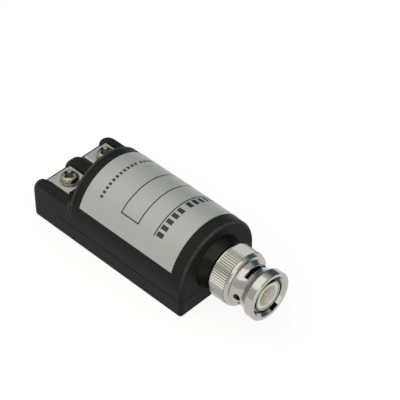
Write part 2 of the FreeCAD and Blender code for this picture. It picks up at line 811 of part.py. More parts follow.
def cross_recess(name, top):
    """Tapered cross that the driver fits, from the head's top down."""
    long = size.cross_length / 2
    thin = size.cross_width / 2
    corners = [(long, -thin), (long, thin), (thin, thin), (thin, long), (-thin, long), (-thin, thin),
               (-long, thin), (-long, -thin), (-thin, -thin), (-thin, -long), (thin, -long), (thin, -thin)]
    recess = padded(name, "XY_Plane", corners, top, size.cross_depth)
    recess.Tip.Reversed = True
    recess.Tip.TaperAngle = -SIZES["cross_taper"]
    return recess


def make_terminal(side, sign):
    middle = terminal_side * sign
    half_strip = pocket_width / 2 - size.strip_gap
    half_tail = size.tail_width / 2
    step = arch_rear - size.strip_gap
    plate = padded("strip_plate_" + side, "XY_Plane", [
        (strip_rear, -half_strip), (step, -half_strip), (step, -half_tail),
        (cavity_rear + size.tail_on_board, -half_tail), (cavity_rear + size.tail_on_board, half_tail),
        (step, half_tail), (step, half_strip), (strip_rear, half_strip),
    ], board_top, size.strip_thickness)
    hole = cylinder("strip_hole_" + side, size.screw_radius + size.screw_fit, size.strip_thickness + 2 * PAST,
                    x=screw_x, z=board_top - PAST)
    strip = cut("contact_strip_" + side, plate, hole)
    node("contact_strip_" + side, place(strip, 0, middle, 0))

    half_clamp = pocket_width / 2 - size.clamp_gap
    ends = size.clamp_length / 2
    square = padded("clamp_square_" + side, "XY_Plane", [
        (-ends, -half_clamp), (ends, -half_clamp), (ends, half_clamp), (-ends, half_clamp),
    ], strip_top, size.clamp_thickness)
    doc.recompute()
    on_top = edges_where(square.Shape, lambda point: abs(point.z - clamp_top.number) < 0.001)
    dress(square, "Chamfer", on_top, Size=size.clamp_bevel)
    eye = cylinder("clamp_hole_" + side, size.clamp_hole, size.clamp_thickness + 2 * PAST, z=strip_top - PAST)
    node("clamp_plate_" + side, place(cut("clamp_plate_" + side, square, eye), screw_x, middle, 0))

    foot = clamp_top - size.screw_length
    point = size.screw_point
    blank = turned("screw_blank_" + side, [
        (foot, 0), (foot, size.screw_radius - point), (foot + point, size.screw_radius),
        (clamp_top, size.screw_radius), (clamp_top, size.head_radius),
        (clamp_top + size.head_side, size.head_radius, size.head_curve),
        (clamp_top + size.head_height, size.head_flat), (clamp_top + size.head_height, 0),
    ], upright=True)
    screw = cut("terminal_screw_" + side, blank, cross_recess("cross_" + side, clamp_top + size.head_height))
    node("terminal_screw_" + side, place(screw, screw_x, middle, 0))


def make_board():
    blank = box("board_blank", (board_rear, board_front), (-board_half, board_half),
                (board_bottom, board_top))
    holes = [cylinder("peg_hole_%d" % i, size.peg_radius + size.peg_gap, size.board_thickness + 2 * PAST,
                      x=x, y=y, z=board_bottom - PAST) for i, (x, y) in enumerate(post_places())]
    node("circuit_board", cut("circuit_board", blank, *holes))


def make_transformer():
    x = (board_rear + board_front) / 2
    base = board_top + size.wire + size.wire_gap * 2
    top = base + size.core_height
    bevel = size.wire / 2
    node("transformer_core", place(turned("transformer_core", [
        (base + bevel, size.core_inner), (base, size.core_inner + bevel), (base, size.core_outer - bevel),
        (base + bevel, size.core_outer), (top - bevel, size.core_outer), (top, size.core_outer - bevel),
        (top, size.core_inner + bevel), (top - bevel, size.core_inner),
    ], upright=True), x, 0, 0))

    def turn_of_wire(name, angle):
        """One turn round the core's section, as a square wire."""
        gap = size.wire_gap
        near = size.core_inner - gap
        far = size.core_outer + gap
        half = size.wire / 2
        loop = box(name + "_loop", (near - size.wire, far + size.wire), (-half, half),
                   (base - gap - size.wire, top + gap + size.wire))
        window = box(name + "_window", (near, far), (-size.wire, size.wire), (base - gap, top + gap))
        wire = cut(name, loop, window)
        return place(wire, x, 0, 0, Rotation(Vector(0, 0, 1), angle))

    for label, middle in (("winding_line", 90), ("winding_camera", -90)):
        turns = []
        for i in range(SIZES["winding_turns"]):
            angle = middle + (i - (SIZES["winding_turns"] - 1) / 2) * SIZES["winding_angle"]
            turns.append(turn_of_wire("%s_%d" % (label, i), angle))
        coil = doc.addObject("Part::Compound", label)
        coil.Links = turns
        node(label, coil)


def upright_disc(label, radius, thickness, x, y, across_x):
    """Disc component standing on two leads."""
    height = board_top + size.lead_length + radius
    if across_x:
        disc = cylinder(label + "_disc", radius, thickness, x=x - thickness / 2, y=y, z=height, turn=AROUND_X)
        feet = [(x, y - size.lead_spread), (x, y + size.lead_spread)]
    else:
        disc = cylinder(label + "_disc", radius, thickness, x=x, y=y - thickness / 2, z=height, turn=AROUND_Y)
        feet = [(x - size.lead_spread, y), (x + size.lead_spread, y)]
    leads = [cylinder("%s_lead_%d" % (label, i), size.lead_radius, size.lead_length + radius / 2, x=foot[0],
                      y=foot[1], z=board_top) for i, foot in enumerate(feet)]
    node(label, fuse(label, [disc, *leads]))


def make_resistor(label, x):
    height = board_top + size.resistor_radius + size.lead_radius
    body = cylinder(label + "_body", size.resistor_radius, size.resistor_length, x=x,
                    y=-size.resistor_length / 2, z=height, turn=AROUND_Y)
    lead = cylinder(label + "_lead", size.lead_radius, size.resistor_reach * 2, x=x,
                    y=-size.resistor_reach, z=height, turn=AROUND_Y)
    foot_length = height - board_top + size.foot_radius
    feet = [cylinder("%s_foot_%d" % (label, i), size.foot_radius, foot_length, x=x,
                     y=size.resistor_reach * sign, z=board_top) for i, sign in enumerate((-1, 1))]
    node(label, fuse(label, [body, lead, *feet]))


def make_components():
    for side, sign in (("left", 1), ("right", -1)):
        upright_disc("capacitor_" + side, size.capacitor_radius, size.capacitor_thickness,
                     board_front - size.capacitor_from_front, (board_half - size.capacitor_inset) * sign,
                     across_x=False)
    upright_disc("surge_suppressor", size.suppressor_radius, size.suppressor_thickness,
                 board_front - size.suppressor_from_front, as_size(0), across_x=True)
    make_resistor("resistor_rear", cavity_rear + size.resistor_place)
    make_resistor("resistor_front", cavity_rear + size.resistor_place + size.resistor_pitch)


make_top_shell()
make_bottom_cover()
make_label()
make_collar()
make_connector()
make_nut()
make_neck_pieces()
for side, sign in (("left", 1), ("right", -1)):
    make_terminal(side, sign)
make_board()
make_transformer()
make_components()
doc.recompute()

failed = [thing.Name for thing in doc.Objects if {"Invalid", "Error"} & set(thing.State)]
if failed:
    raise RuntimeError("objects that did not recompute: " + ", ".join(failed))
for solid in NODES:
    if solid.Shape.isNull() or not solid.Shape.isValid() or not solid.Shape.Solids:
        raise RuntimeError("not a valid solid: " + solid.Label)

os.makedirs("parts", exist_ok=True)
for solid in NODES:
    solid.Shape.exportStep("parts/%s.step" % solid.Label)
    print(solid.Label, len(solid.Shape.Solids), round(solid.Shape.Volume, 2))
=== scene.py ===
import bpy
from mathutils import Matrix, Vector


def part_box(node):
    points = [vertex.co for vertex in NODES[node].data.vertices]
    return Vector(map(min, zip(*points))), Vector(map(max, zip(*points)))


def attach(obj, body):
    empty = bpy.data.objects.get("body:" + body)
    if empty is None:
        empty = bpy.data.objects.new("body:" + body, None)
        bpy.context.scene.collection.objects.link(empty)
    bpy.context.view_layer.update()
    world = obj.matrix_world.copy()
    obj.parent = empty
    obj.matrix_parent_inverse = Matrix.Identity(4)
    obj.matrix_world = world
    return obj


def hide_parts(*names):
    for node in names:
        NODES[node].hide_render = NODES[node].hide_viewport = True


bl_info = {
    "name": "Video balun",
    "version": (1, 0, 0),
    "blender": (4, 5, 0),
    "location": "View3D > Sidebar > Balun",
    "description": "Gives a packed video balun its finishes, its print, its threads and its windings",
    "category": "Object",
}

import math

import bmesh
import bpy
from bpy.props import FloatProperty, FloatVectorProperty, IntProperty, PointerProperty
from mathutils import Vector

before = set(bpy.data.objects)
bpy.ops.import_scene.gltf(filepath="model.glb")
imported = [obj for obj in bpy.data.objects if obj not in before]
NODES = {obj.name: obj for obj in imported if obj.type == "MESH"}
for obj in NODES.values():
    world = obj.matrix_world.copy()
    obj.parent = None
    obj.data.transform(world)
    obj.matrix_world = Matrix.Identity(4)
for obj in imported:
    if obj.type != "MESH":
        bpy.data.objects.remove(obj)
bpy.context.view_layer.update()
MM = 0.001

# places taken from the frame: the high corner of the shell's box, the axes of the arch and of the plug
SHELL_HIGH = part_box("top_shell")[1]
NUT_LOW, NUT_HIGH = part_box("coupling_nut")
CORE_LOW, CORE_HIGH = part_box("transformer_core")
ARCH_AXIS = SHELL_HIGH.z - SHELL_HIGH.y
FILM_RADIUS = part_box("label")[1].z - ARCH_AXIS
PLUG_AXIS = (NUT_LOW.z + NUT_HIGH.z) / 2

# points closer than WELD are one point, and a point within SLACK of a face counts as on it
WELD = 0.001 * MM
SLACK = 0.01 * MM
SHARP_FROM = math.radians(35)
# sizes of the soft patches that handling leaves, and of the patches in the painted edge highlight
MOULDED_PATCH = 6 * MM
METAL_PATCH = 3 * MM
HIGHLIGHT_PATCH = 2 * MM
# the heights over the arch's axis at which the painted edge highlight starts and is full, and how far in from
# the side the painted seam shade shows
HIGHLIGHT_FROM = -1 * MM
HIGHLIGHT_FULL = 4 * MM
SEAM_SHADE_DEPTH = 0.5 * MM
# how finely round things are cut
STRIP_STEPS = 48
RIDGE_SIDES = 4
WIRE_SIDES = 10
TURN_STEPS = 28
# brown, black, red and gold, each over this share of the way from one band to the next
RESISTOR_BANDS = ((0.18, 0.03, 0.01), (0.01, 0.01, 0.01), (0.35, 0.02, 0.01), (0.55, 0.36, 0.06))
BAND_SHARE = 0.56
# the middle of the near sky, and the cosines of the angles from it at which it starts and is full
NEAR_SKY_TOWARDS = (0.1, -0.5, 0.8)
NEAR_SKY_FADE = (-0.02, 0.38)
# the camera and reflections see this much of the floor's lit colour, over this much white
FLOOR_SHADOW = 0.14
FLOOR_GLOW = 0.9


def length(name, description, millimetres):
    return FloatProperty(name=name, description=description, default=millimetres * MM, unit="LENGTH",
                         precision=5)


def angle(name, description, degrees):
    return FloatProperty(name=name, description=description, default=math.radians(degrees), subtype="ANGLE")


def colour(name, description, value):
    return FloatVectorProperty(name=name, description=description, default=value, subtype="COLOR", size=3,
                               min=0, max=1)


def share(name, description, value):
    return FloatProperty(name=name, description=description, default=value, min=0, max=1, subtype="FACTOR")


def count(name, description, value):
    return IntProperty(name=name, description=description, default=value, min=1)


def point(name, description, metres):
    return FloatVectorProperty(name=name, description=description, default=metres, size=3,
                               subtype="TRANSLATION")


def power(name, description, watts):
    return FloatProperty(name=name, description=description, default=watts, min=0, unit="POWER")


class PlasticFinish(bpy.types.PropertyGroup):
    """The moulded black housing and collar, and the plug's insulator and gasket."""

    black: colour("Black", "Colour of the housing", (0.018, 0.0185, 0.0183))
    roughness: share("Roughness", "How matt the moulded skin is", 0.4)
    gloss: share("Gloss", "How strongly the moulded skin reflects", 0.035)
    grain: length("Grain", "Size of the mould's fine grain", 0.16)
    grain_depth: length("Grain depth", "Depth of the mould's fine grain", 0.003)
    # painted highlight: a lighter band painted along the arch's rounded front and rear edges, set by this
    # colour, the next two distances and the arch's rear edge
    edge_highlight: colour("Painted edge highlight", "Colour of the arch's edges where they are rubbed", (0.062, 0.063, 0.062))
    edge_inner: length("Edge inner", "Distance from an edge at which the wear starts to fade", 0.44)
    edge_outer: length("Edge outer", "Distance from an edge at which the wear ends", 0.85)
    arch_rear: length("Arch rear", "Place of the arch's rear edge", -12.5)
    # painted shade: the seam's height and the spread below place a darker line painted along the seam between
    # the two halves
    seam: length("Seam", "Height of the seam between the two halves", 5.32)
    seam_shade_width: length("Seam shade", "How far the dark dust spreads from the seam", 0.24)
    collar: colour("Collar", "Colour of the front collar", (0.004, 0.004, 0.0025))
    collar_roughness: share("Collar roughness", "How matt the collar is", 0.26)
    collar_gloss: share("Collar gloss", "How strongly the collar reflects", 0.2)
    white: colour("White", "Colour of the plug's insulator", (0.83, 0.82, 0.775))
    white_roughness: share("White roughness", "How matt the insulator is", 0.45)
    rubber: colour("Rubber", "Colour of the gasket", (0.012, 0.011, 0.01))
    rubber_roughness: share("Rubber roughness", "How matt the gasket is", 0.6)


class MetalFinish(bpy.types.PropertyGroup):
    """The plated metal of the plug and the terminals."""

    nickel: colour("Nickel", "Colour of the nickel plating", (0.46, 0.452, 0.415))
    nickel_roughness: share("Nickel roughness", "How matt the nickel of turned pieces is", 0.17)
    strip_roughness: share("Strip roughness", "How matt the nickel of the contact strips is", 0.22)
    zinc: colour("Zinc", "Colour of the zinc plating on clamp plates and washers", (0.66, 0.66, 0.64))
    zinc_roughness: share("Zinc roughness", "How matt the clamp plates are", 0.24)
    washer_roughness: share("Washer roughness", "How matt the plug's rings and washers are", 0.3)
    screw: colour("Screw", "Colour of the yellowish plated screws", (0.34, 0.31, 0.235))
    screw_roughness: share("Screw roughness", "How matt the screws are", 0.27)
    # painted shade: a dark colour given to the faces inside the screws' cross recess, where shade falls
    recess: colour("Recess", "Colour of the dark cross recess in the screws", (0.07, 0.06, 0.05))
    recess_roughness: share("Recess roughness", "How matt the cross recess is", 0.5)
    gold: colour("Gold", "Colour of the centre pin", (0.86, 0.56, 0.13))
    gold_roughness: share("Gold roughness", "How matt the centre pin is", 0.16)
    marks: length("Marks", "Spacing of the fine marks left by the lathe", 0.12)
    marks_depth: length("Marks depth", "Depth of the fine marks left by the lathe", 0.0012)


class LabelDesign(bpy.types.PropertyGroup):
    """The film over the arch and what is printed on it."""

    film: colour("Film", "Colour of the silver-grey film", (0.4, 0.405, 0.388))
    film_roughness: share("Film roughness", "How matt the film is", 0.36)
    film_metal: share("Film metal", "How metallic the silver-grey film is", 0.05)
    ink: colour("Ink", "Colour of the print", (0.014, 0.014, 0.015))
    ink_roughness: share("Ink roughness", "How matt the print is", 0.45)
    ink_thickness: length("Ink thickness", "How far the print stands proud of the film", 0.02)
    line: length("Line", "Width of the printed lines", 0.34)
    box_rear: length("Box rear", "Place of the empty box's rear line", 3.05)
    box_front: length("Box front", "Place of the empty box's front line", 8.95)
    box_turn: angle("Box turn", "Half of the turn that the empty box takes round the arch", 46)
    underline: length("Underline", "Place of the line under the large row", 14.5)
    large_rear: length("Large row rear", "Rear edge of the large row of blocks", 15.05)
    large_front: length("Large row front", "Front edge of the large row of blocks", 17.05)
    large_blocks: count("Large blocks", "Blocks in the large row", 10)
    large_space: count("Large space", "Blocks before the large row's space", 5)
    large_filled: share("Large row filled", "Share of a step that a block of the large row fills", 0.62)
    small_rear: length("Small row rear", "Rear edge of the small row of blocks", -4.8)
    small_front: length("Small row front", "Front edge of the small row of blocks", -3.9)
    small_blocks: count("Small blocks", "Blocks in the small row", 16)
    small_space: count("Small space", "Blocks before the small row's space", 11)
    small_filled: share("Small row filled", "Share of a step that a block of the small row fills", 0.55)


class ThreadDesign(bpy.types.PropertyGroup):
    """The thread of the terminal screws, and where their cross recess lies."""

    pitch: length("Pitch", "Pitch of the screw thread", 0.5)
    crest: length("Crest", "Radius of the thread's crest", 1.5)
    depth: length("Depth", "Depth of the thread", 0.28)
    # faces within this radius, between the head's bottom and just below its top, get the painted recess shade
    recess: length("Recess", "Radius within which the cross recess lies", 1.58)


class WindingDesign(bpy.types.PropertyGroup):
    """The two windings on the ring core."""

    turns: count("Turns", "Turns of each winding", 7)
    step: angle("Step", "Angle between two turns", 22)
    wire: length("Wire", "Thickness of the wire", 0.45)
    gap: length("Gap", "Room between the wire and the core", 0.03)
    hole: length("Hole", "Radius of the core's hole", 2.8)
    copper: colour("Copper", "Colour of the enamelled wire", (0.62, 0.24, 0.09))


class ElectronicsFinish(bpy.types.PropertyGroup):
    """The board and the components on it."""

    lacquer: colour("Lacquer", "Colour of the board's green lacquer", (0.012, 0.09, 0.03))
    weave: colour("Weave", "Lighter colour where the glass weave shows", (0.016, 0.11, 0.04))
    between: colour("Between", "Colour between the threads of the weave", (0.01, 0.075, 0.028))
    tracks: colour("Tracks", "Colour of the lacquer over the copper tracks", (0.05, 0.24, 0.06))
    ferrite: colour("Ferrite", "Colour of the ring core", (0.035, 0.034, 0.036))
    capacitor: colour("Capacitor", "Colour of the capacitors' coat", (0.52, 0.21, 0.035))
    suppressor: colour("Suppressor", "Colour of the surge suppressor's coat", (0.012, 0.07, 0.24))
    resistor: colour("Resistor", "Colour of the resistors' coat", (0.55, 0.4, 0.2))
    first_band: length("First band", "Place of the first band on a resistor, along Y", -1.35)
    band_pitch: length("Band pitch", "From one band on a resistor to the next", 0.8)


class StudioSettings(bpy.types.PropertyGroup):
    """The camera, the lamps and the floor."""

    azimuth: angle("Azimuth", "How far the camera stands round the object", 44.325)
    elevation: angle("Elevation", "How far the camera looks down", 43.123)
    distance: length("Distance", "From the camera to the point it looks at", 400)
    lens: FloatProperty(name="Lens", description="Focal length on a 36 mm sensor", default=153, unit="CAMERA")
    target: point("Target", "The point that the camera looks at", (0.0249, -0.004, 0.0325))
    floor: colour("Floor", "Colour of the floor", (0.9, 0.9, 0.9))
    floor_reach: length("Floor reach", "From the middle of the floor to its sides", 3000)
    floor_drop: length("Floor drop", "How far the floor lies below the housing", 0.02)
    lit: point("Lit", "The point that both lamps face", (0.01, 0, 0.01))
    key: power("Key lamp", "Power of the large lamp above", 2.4)
    key_place: point("Key place", "Where the large lamp hangs", (-0.08, -0.22, 0.7))
    fill: power("Fill lamp", "Power of the lamp at the front", 0.35)
    fill_place: point("Fill place", "Where the lamp at the front stands", (0.55, -0.28, 0.2))
    near_sky: colour("Near sky", "Light from the near side and from above it", (0.68, 0.67, 0.65))
    far_sky: colour("Far sky", "Dimmer and bluer light from the far side", (0.07, 0.125, 0.165))
    dark_sky: colour("Dark sky", "Colour of the dark place that bright metal reflects", (0.05, 0.045, 0.035))
    dark_spot: angle("Dark spot", "Half of the width of that dark place", 13)


GROUPS = {
    "balun_plastic": PlasticFinish,
    "balun_metal": MetalFinish,
    "balun_label": LabelDesign,
    "balun_thread": ThreadDesign,
    "balun_winding": WindingDesign,
    "balun_electronics": ElectronicsFinish,
    "balun_studio": StudioSettings,
}


class Tree:
    """A node tree while it is built. A value that is a socket gets linked, any other is set."""

    def __init__(self, tree):
        self.tree = tree

    def add(self, kind, inputs=None, **settings):
        made = self.tree.nodes.new(kind)
        for name, value in settings.items():
            setattr(made, name, value)
        for name, value in (inputs or {}).items():
            self.feed(made.inputs[name], value)
        return made

    def feed(self, socket, value):
        if isinstance(value, bpy.types.NodeSocket):
            self.tree.links.new(value, socket)
        else:
            socket.default_value = value

    def math(self, operation, first, second=0.0):
        return self.add("ShaderNodeMath", {0: first, 1: second}, operation=operation).outputs[0]

    def xyz(self, x=0.0, y=0.0, z=0.0):
        return self.add("ShaderNodeCombineXYZ", {"X": x, "Y": y, "Z": z}).outputs[0]


def new_group(name, kind, inputs, outputs):
    """A node group with typed inputs (name, type, default) and outputs (name, type)."""
    group = bpy.data.node_groups.new(name, kind)
    for label, socket, default in inputs:
        made = group.interface.new_socket(name=label, in_out="INPUT", socket_type=socket)
        if default is not None:
            made.default_value = default
    for label, socket in outputs:
        group.interface.new_socket(name=label, in_out="OUTPUT", socket_type=socket)
    tree = Tree(group)
    return group, tree, tree.add("NodeGroupInput").outputs, tree.add("NodeGroupOutput").inputs


def handling_group():
    """Soft wide patches that vary a surface's roughness a little, as handling does."""
    group, tree, given, wanted = new_group(
        "handling", "ShaderNodeTree",
        [("Size", "NodeSocketFloat", MOULDED_PATCH), ("Least", "NodeSocketFloat", 0.3),
         ("Most", "NodeSocketFloat", 0.4)],
        [("Roughness", "NodeSocketFloat")])
    place = tree.add("ShaderNodeTexCoord").outputs["Object"]
    patches = tree.add("ShaderNodeTexNoise", {
        "Vector": place, "Scale": tree.math("DIVIDE", 1.0, given["Size"]), "Detail": 3.0, "Roughness": 0.55,
    }).outputs[0]
    spread = tree.add("ShaderNodeMapRange", {
        "Value": patches, "From Min": 0.3, "From Max": 0.7, "To Min": given["Least"], "To Max": given["Most"],
    }).outputs[0]
    tree.feed(wanted["Roughness"], spread)
    return group


def grain_group():
    """The fine pebbled skin of a moulding."""
    group, tree, given, wanted = new_group(
        "moulded_grain", "ShaderNodeTree",
        [("Size", "NodeSocketFloat", 0.2 * MM), ("Depth", "NodeSocketFloat", 0.004 * MM)],
        [("Normal", "NodeSocketVector"), ("Height", "NodeSocketFloat")])
    place = tree.add("ShaderNodeTexCoord").outputs["Object"]
    pebbles = tree.add("ShaderNodeTexNoise", {
        "Vector": place, "Scale": tree.math("DIVIDE", 1.0, given["Size"]), "Detail": 2.0, "Roughness": 0.6,
    }).outputs[0]
    bump = tree.add("ShaderNodeBump", {"Strength": 1.0, "Distance": given["Depth"], "Height": pebbles})
    tree.feed(wanted["Normal"], bump.outputs[0])
    tree.feed(wanted["Height"], pebbles)
    return group


def lathe_group():
    """Fine rings left by the lathe round an axis along X, at a height above the floor."""
    group, tree, given, wanted = new_group(
        "lathe_marks", "ShaderNodeTree",
        [("Spacing", "NodeSocketFloat", 0.12 * MM), ("Depth", "NodeSocketFloat", 0.001 * MM),
         ("Axis height", "NodeSocketFloat", 10.7 * MM)],
        [("Normal", "NodeSocketVector"), ("Height", "NodeSocketFloat")])
    place = tree.add("ShaderNodeTexCoord").outputs["Object"]
    parts = tree.add("ShaderNodeSeparateXYZ", {0: place}).outputs
    radial = tree.xyz(0.0, parts["Y"], tree.math("SUBTRACT", parts["Z"], given["Axis height"]))
    radius = tree.add("ShaderNodeVectorMath", {0: radial}, operation="LENGTH").outputs["Value"]
    profile = tree.xyz(parts["X"], radius)
    rings = tree.add("ShaderNodeTexNoise", {
        "Vector": profile, "Scale": tree.math("DIVIDE", 1.0, given["Spacing"]), "Detail": 2.0,
        "Roughness": 0.5,
    }, noise_dimensions="2D").outputs[0]
    bump = tree.add("ShaderNodeBump", {"Strength": 1.0, "Distance": given["Depth"], "Height": rings})
    tree.feed(wanted["Normal"], bump.outputs[0])
    tree.feed(wanted["Height"], rings)
    return group


def edge_highlight_group():
    """A patchy mask for a painted highlight along an edge that follows the arch, at a place along X."""
    group, tree, given, wanted = new_group(
        "painted_edge_highlight", "ShaderNodeTree",
        [("Place", "NodeSocketFloat", 0.0), ("Radius", "NodeSocketFloat", 13 * MM),
         ("Axis height", "NodeSocketFloat", ARCH_AXIS), ("Inner", "NodeSocketFloat", 0.45 * MM),
         ("Outer", "NodeSocketFloat", 0.75 * MM)],
        [("Mask", "NodeSocketFloat")])
    place = tree.add("ShaderNodeTexCoord").outputs["Object"]
    parts = tree.add("ShaderNodeSeparateXYZ", {0: place}).outputs
    above = tree.math("SUBTRACT", parts["Z"], given["Axis height"])
    outline = tree.xyz(0.0, parts["Y"], tree.math("MAXIMUM", above, 0.0))
    reach = tree.add("ShaderNodeVectorMath", {0: outline}, operation="LENGTH").outputs["Value"]
    corner = tree.xyz(tree.math("SUBTRACT", parts["X"], given["Place"]),
                      tree.math("SUBTRACT", given["Radius"], reach))
    away = tree.add("ShaderNodeVectorMath", {0: corner}, operation="LENGTH").outputs["Value"]
    band = tree.add("ShaderNodeMapRange", {
        "Value": away, "From Min": given["Inner"], "From Max": given["Outer"], "To Min": 1.0, "To Max": 0.0,
    }, interpolation_type="SMOOTHSTEP").outputs[0]
    # the painted highlight is kept to the arch: it fades in from just below the arch's axis
    raised = tree.add("ShaderNodeMapRange", {
        "Value": above, "From Min": HIGHLIGHT_FROM, "From Max": HIGHLIGHT_FULL,
    }, interpolation_type="SMOOTHSTEP").outputs[0]
    patches = tree.add("ShaderNodeMapRange", {
        "Value": tree.add("ShaderNodeTexNoise", {
            "Vector": place, "Scale": 1 / HIGHLIGHT_PATCH, "Detail": 2.0,
        }).outputs[0],
        "From Min": 0.35, "From Max": 0.65, "To Min": 0.5, "To Max": 1.0,
    }).outputs[0]
    mask = tree.math("MULTIPLY", tree.math("MULTIPLY", band, raised), patches)
    tree.feed(wanted["Mask"], mask)
    return group


def shared(name):
    """A shared group of nodes, made the first time it is asked for."""
    makers = {"handling": handling_group, "moulded_grain": grain_group, "lathe_marks": lathe_group,
              "painted_edge_highlight": edge_highlight_group}
    return bpy.data.node_groups.get(name) or makers[name]()


def new_material(name, constants):
    """A material with one Principled shader, whose constant values are set on its own sockets."""
    material = bpy.data.materials.new(name)
    material.use_nodes = True
    tree = Tree(material.node_tree)
    shader = material.node_tree.nodes["Principled BSDF"]
    for socket, value in constants.items():
        tree.feed(shader.inputs[socket], value)
    return material, tree, shader.inputs


def solid(value, brighter=1.0):
    """An opaque colour for a socket, made brighter or darker by a factor."""
    return (*(part * brighter for part in value), 1.0)


def handled(tree, roughness, least, most, patch=MOULDED_PATCH):
    """A roughness that handling varies in soft patches, by as much as least and most say."""
    patches = tree.add("ShaderNodeGroup", {}, node_tree=shared("handling"))
    tree.feed(patches.inputs["Size"], patch)
    tree.feed(patches.inputs["Least"], roughness + least)
    tree.feed(patches.inputs["Most"], roughness + most)
    return patches.outputs["Roughness"]


def blend(tree, mask, first, second):
    """The second colour where the mask is one, the first where it is nought."""
    return tree.add("ShaderNodeMix", {0: mask, 6: first, 7: second}, data_type="RGBA").outputs[2]


def moulded_material(name, base, roughness, grain, depth, gloss=0.5, metallic=0.0, painted_light=None):
    """A moulded plastic: grain, patches of handling, and any painted light that a further function puts into
    its colour.
    """
    material, tree, inputs = new_material(name, {"Specular IOR Level": gloss, "Metallic": metallic})
    skin = tree.add("ShaderNodeGroup", {}, node_tree=shared("moulded_grain"))
    tree.feed(skin.inputs["Size"], grain)
    tree.feed(skin.inputs["Depth"], depth)
    raised = tree.math("MULTIPLY", skin.outputs["Height"], 0.25)
    shade = blend(tree, raised, solid(base), solid(base, 1.3))
    tree.feed(inputs["Base Color"], painted_light(tree, shade) if painted_light else shade)
    tree.feed(inputs["Roughness"], handled(tree, roughness, -0.05, 0.06))
    tree.feed(inputs["Normal"], skin.outputs["Normal"])
    return material


def housing_painted_light(look):
    """Painted light in the housing's colour: a painted highlight along the arch's front and rear edges, and
    painted shade along the seam.
    """
    cover_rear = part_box("bottom_cover")[0].x

    def paint_light(tree, shade):
        # painted highlight: a lighter colour on the rounded front and rear edges of the arch
        for edge in (SHELL_HIGH.x, look.arch_rear):
            highlight = tree.add("ShaderNodeGroup", {}, node_tree=shared("painted_edge_highlight"))
            tree.feed(highlight.inputs["Place"], edge)
            tree.feed(highlight.inputs["Radius"], SHELL_HIGH.y)
            tree.feed(highlight.inputs["Inner"], look.edge_inner)
            tree.feed(highlight.inputs["Outer"], look.edge_outer)
            shade = blend(tree, highlight.outputs["Mask"], shade, solid(look.edge_highlight))
        place = tree.add("ShaderNodeTexCoord").outputs["Object"]
        parts = tree.add("ShaderNodeSeparateXYZ", {0: place}).outputs
        # painted shade: a dark line along the seam on the sides, darkest at the seam and fading out within
        # the spread
        seam_shade = tree.add("ShaderNodeMapRange", {
            "Value": tree.math("ABSOLUTE", tree.math("SUBTRACT", parts["Z"], look.seam)),
            "From Min": look.seam_shade_width / 3, "From Max": look.seam_shade_width, "To Min": 0.8, "To Max": 0.0,
        }).outputs[0]
        beside = tree.math("GREATER_THAN", tree.math("ABSOLUTE", parts["Y"]), SHELL_HIGH.y - SEAM_SHADE_DEPTH)
        along = tree.math("GREATER_THAN", parts["X"], cover_rear)
        seam_shade = tree.math("MULTIPLY", seam_shade, tree.math("MULTIPLY", beside, along))
        return blend(tree, seam_shade, shade, solid(look.black, 0.2))
    return paint_light


def plated_material(name, base, roughness, settings, turned=True):
    """A plated metal: lathe rings round the plug's axis, or the fine skin of a rolled sheet."""
    material, tree, inputs = new_material(name, {"Metallic": 1.0})
    if turned:
        marks = tree.add("ShaderNodeGroup", {}, node_tree=shared("lathe_marks"))
        tree.feed(marks.inputs["Spacing"], settings.marks)
        tree.feed(marks.inputs["Depth"], settings.marks_depth)
        tree.feed(marks.inputs["Axis height"], PLUG_AXIS)
    else:
        marks = tree.add("ShaderNodeGroup", {}, node_tree=shared("moulded_grain"))
        tree.feed(marks.inputs["Size"], settings.marks * 2)
        tree.feed(marks.inputs["Depth"], settings.marks_depth)
    raised = tree.math("MULTIPLY", marks.outputs["Height"], 0.3)
    tree.feed(inputs["Base Color"], blend(tree, raised, solid(base), solid(base, 0.85)))
    tree.feed(inputs["Roughness"], handled(tree, roughness, -0.04, 0.06, METAL_PATCH))
    tree.feed(inputs["Normal"], marks.outputs["Normal"])
    return material


def dress(material, *names):
    """Give CAD nodes a material."""
    for name in names:
        for slot in NODES[name].material_slots:
            slot.material = material


def finished_piece(name, mesh, body, material=None, replaces=()):
    """A piece of the object from a finished mesh in the row frame."""
    mesh.name = name
    if material is not None:
        mesh.materials.clear()
        mesh.materials.append(material)
    piece = bpy.data.objects.new(name, mesh)
    bpy.context.scene.collection.objects.link(piece)
    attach(piece, body)
    if replaces:
        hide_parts(*replaces)
    return piece


def grown_mesh(name, group, values):
    """The plain mesh that a tree of geometry nodes makes with these inputs."""
    seed = bpy.data.meshes.new(name + "_seed")
    holder = bpy.data.objects.new(name + "_holder", seed)
    bpy.context.scene.collection.objects.link(holder)
    modifier = holder.modifiers.new("grown", "NODES")
    modifier.node_group = group
    for item in group.interface.items_tree:
        if item.item_type == "SOCKET" and item.in_out == "INPUT" and item.name in values:
            modifier[item.identifier] = values[item.name]
    bpy.context.view_layer.update()
    evaluated = holder.evaluated_get(bpy.context.evaluated_depsgraph_get())
    mesh = bpy.data.meshes.new_from_object(evaluated)
    bpy.data.objects.remove(holder)
    bpy.data.meshes.remove(seed)
    if not mesh.polygons:
        raise RuntimeError("geometry nodes made nothing for " + name)
    return mesh


def joined(name, meshes):
    """One mesh from several, which keep their own materials."""
    work = bmesh.new()
    kept = []
    for mesh in meshes:
        first = len(work.faces)
        work.from_mesh(mesh)
        work.faces.ensure_lookup_table()
        for material in mesh.materials:
            if material not in kept:
                kept.append(material)
        for face in work.faces[first:]:
            if mesh.materials:
                face.material_index = kept.index(mesh.materials[face.material_index])
        bpy.data.meshes.remove(mesh)
    whole = bpy.data.meshes.new(name)
    for material in kept:
        whole.materials.append(material)
    work.to_mesh(whole)
    work.free()
    return whole


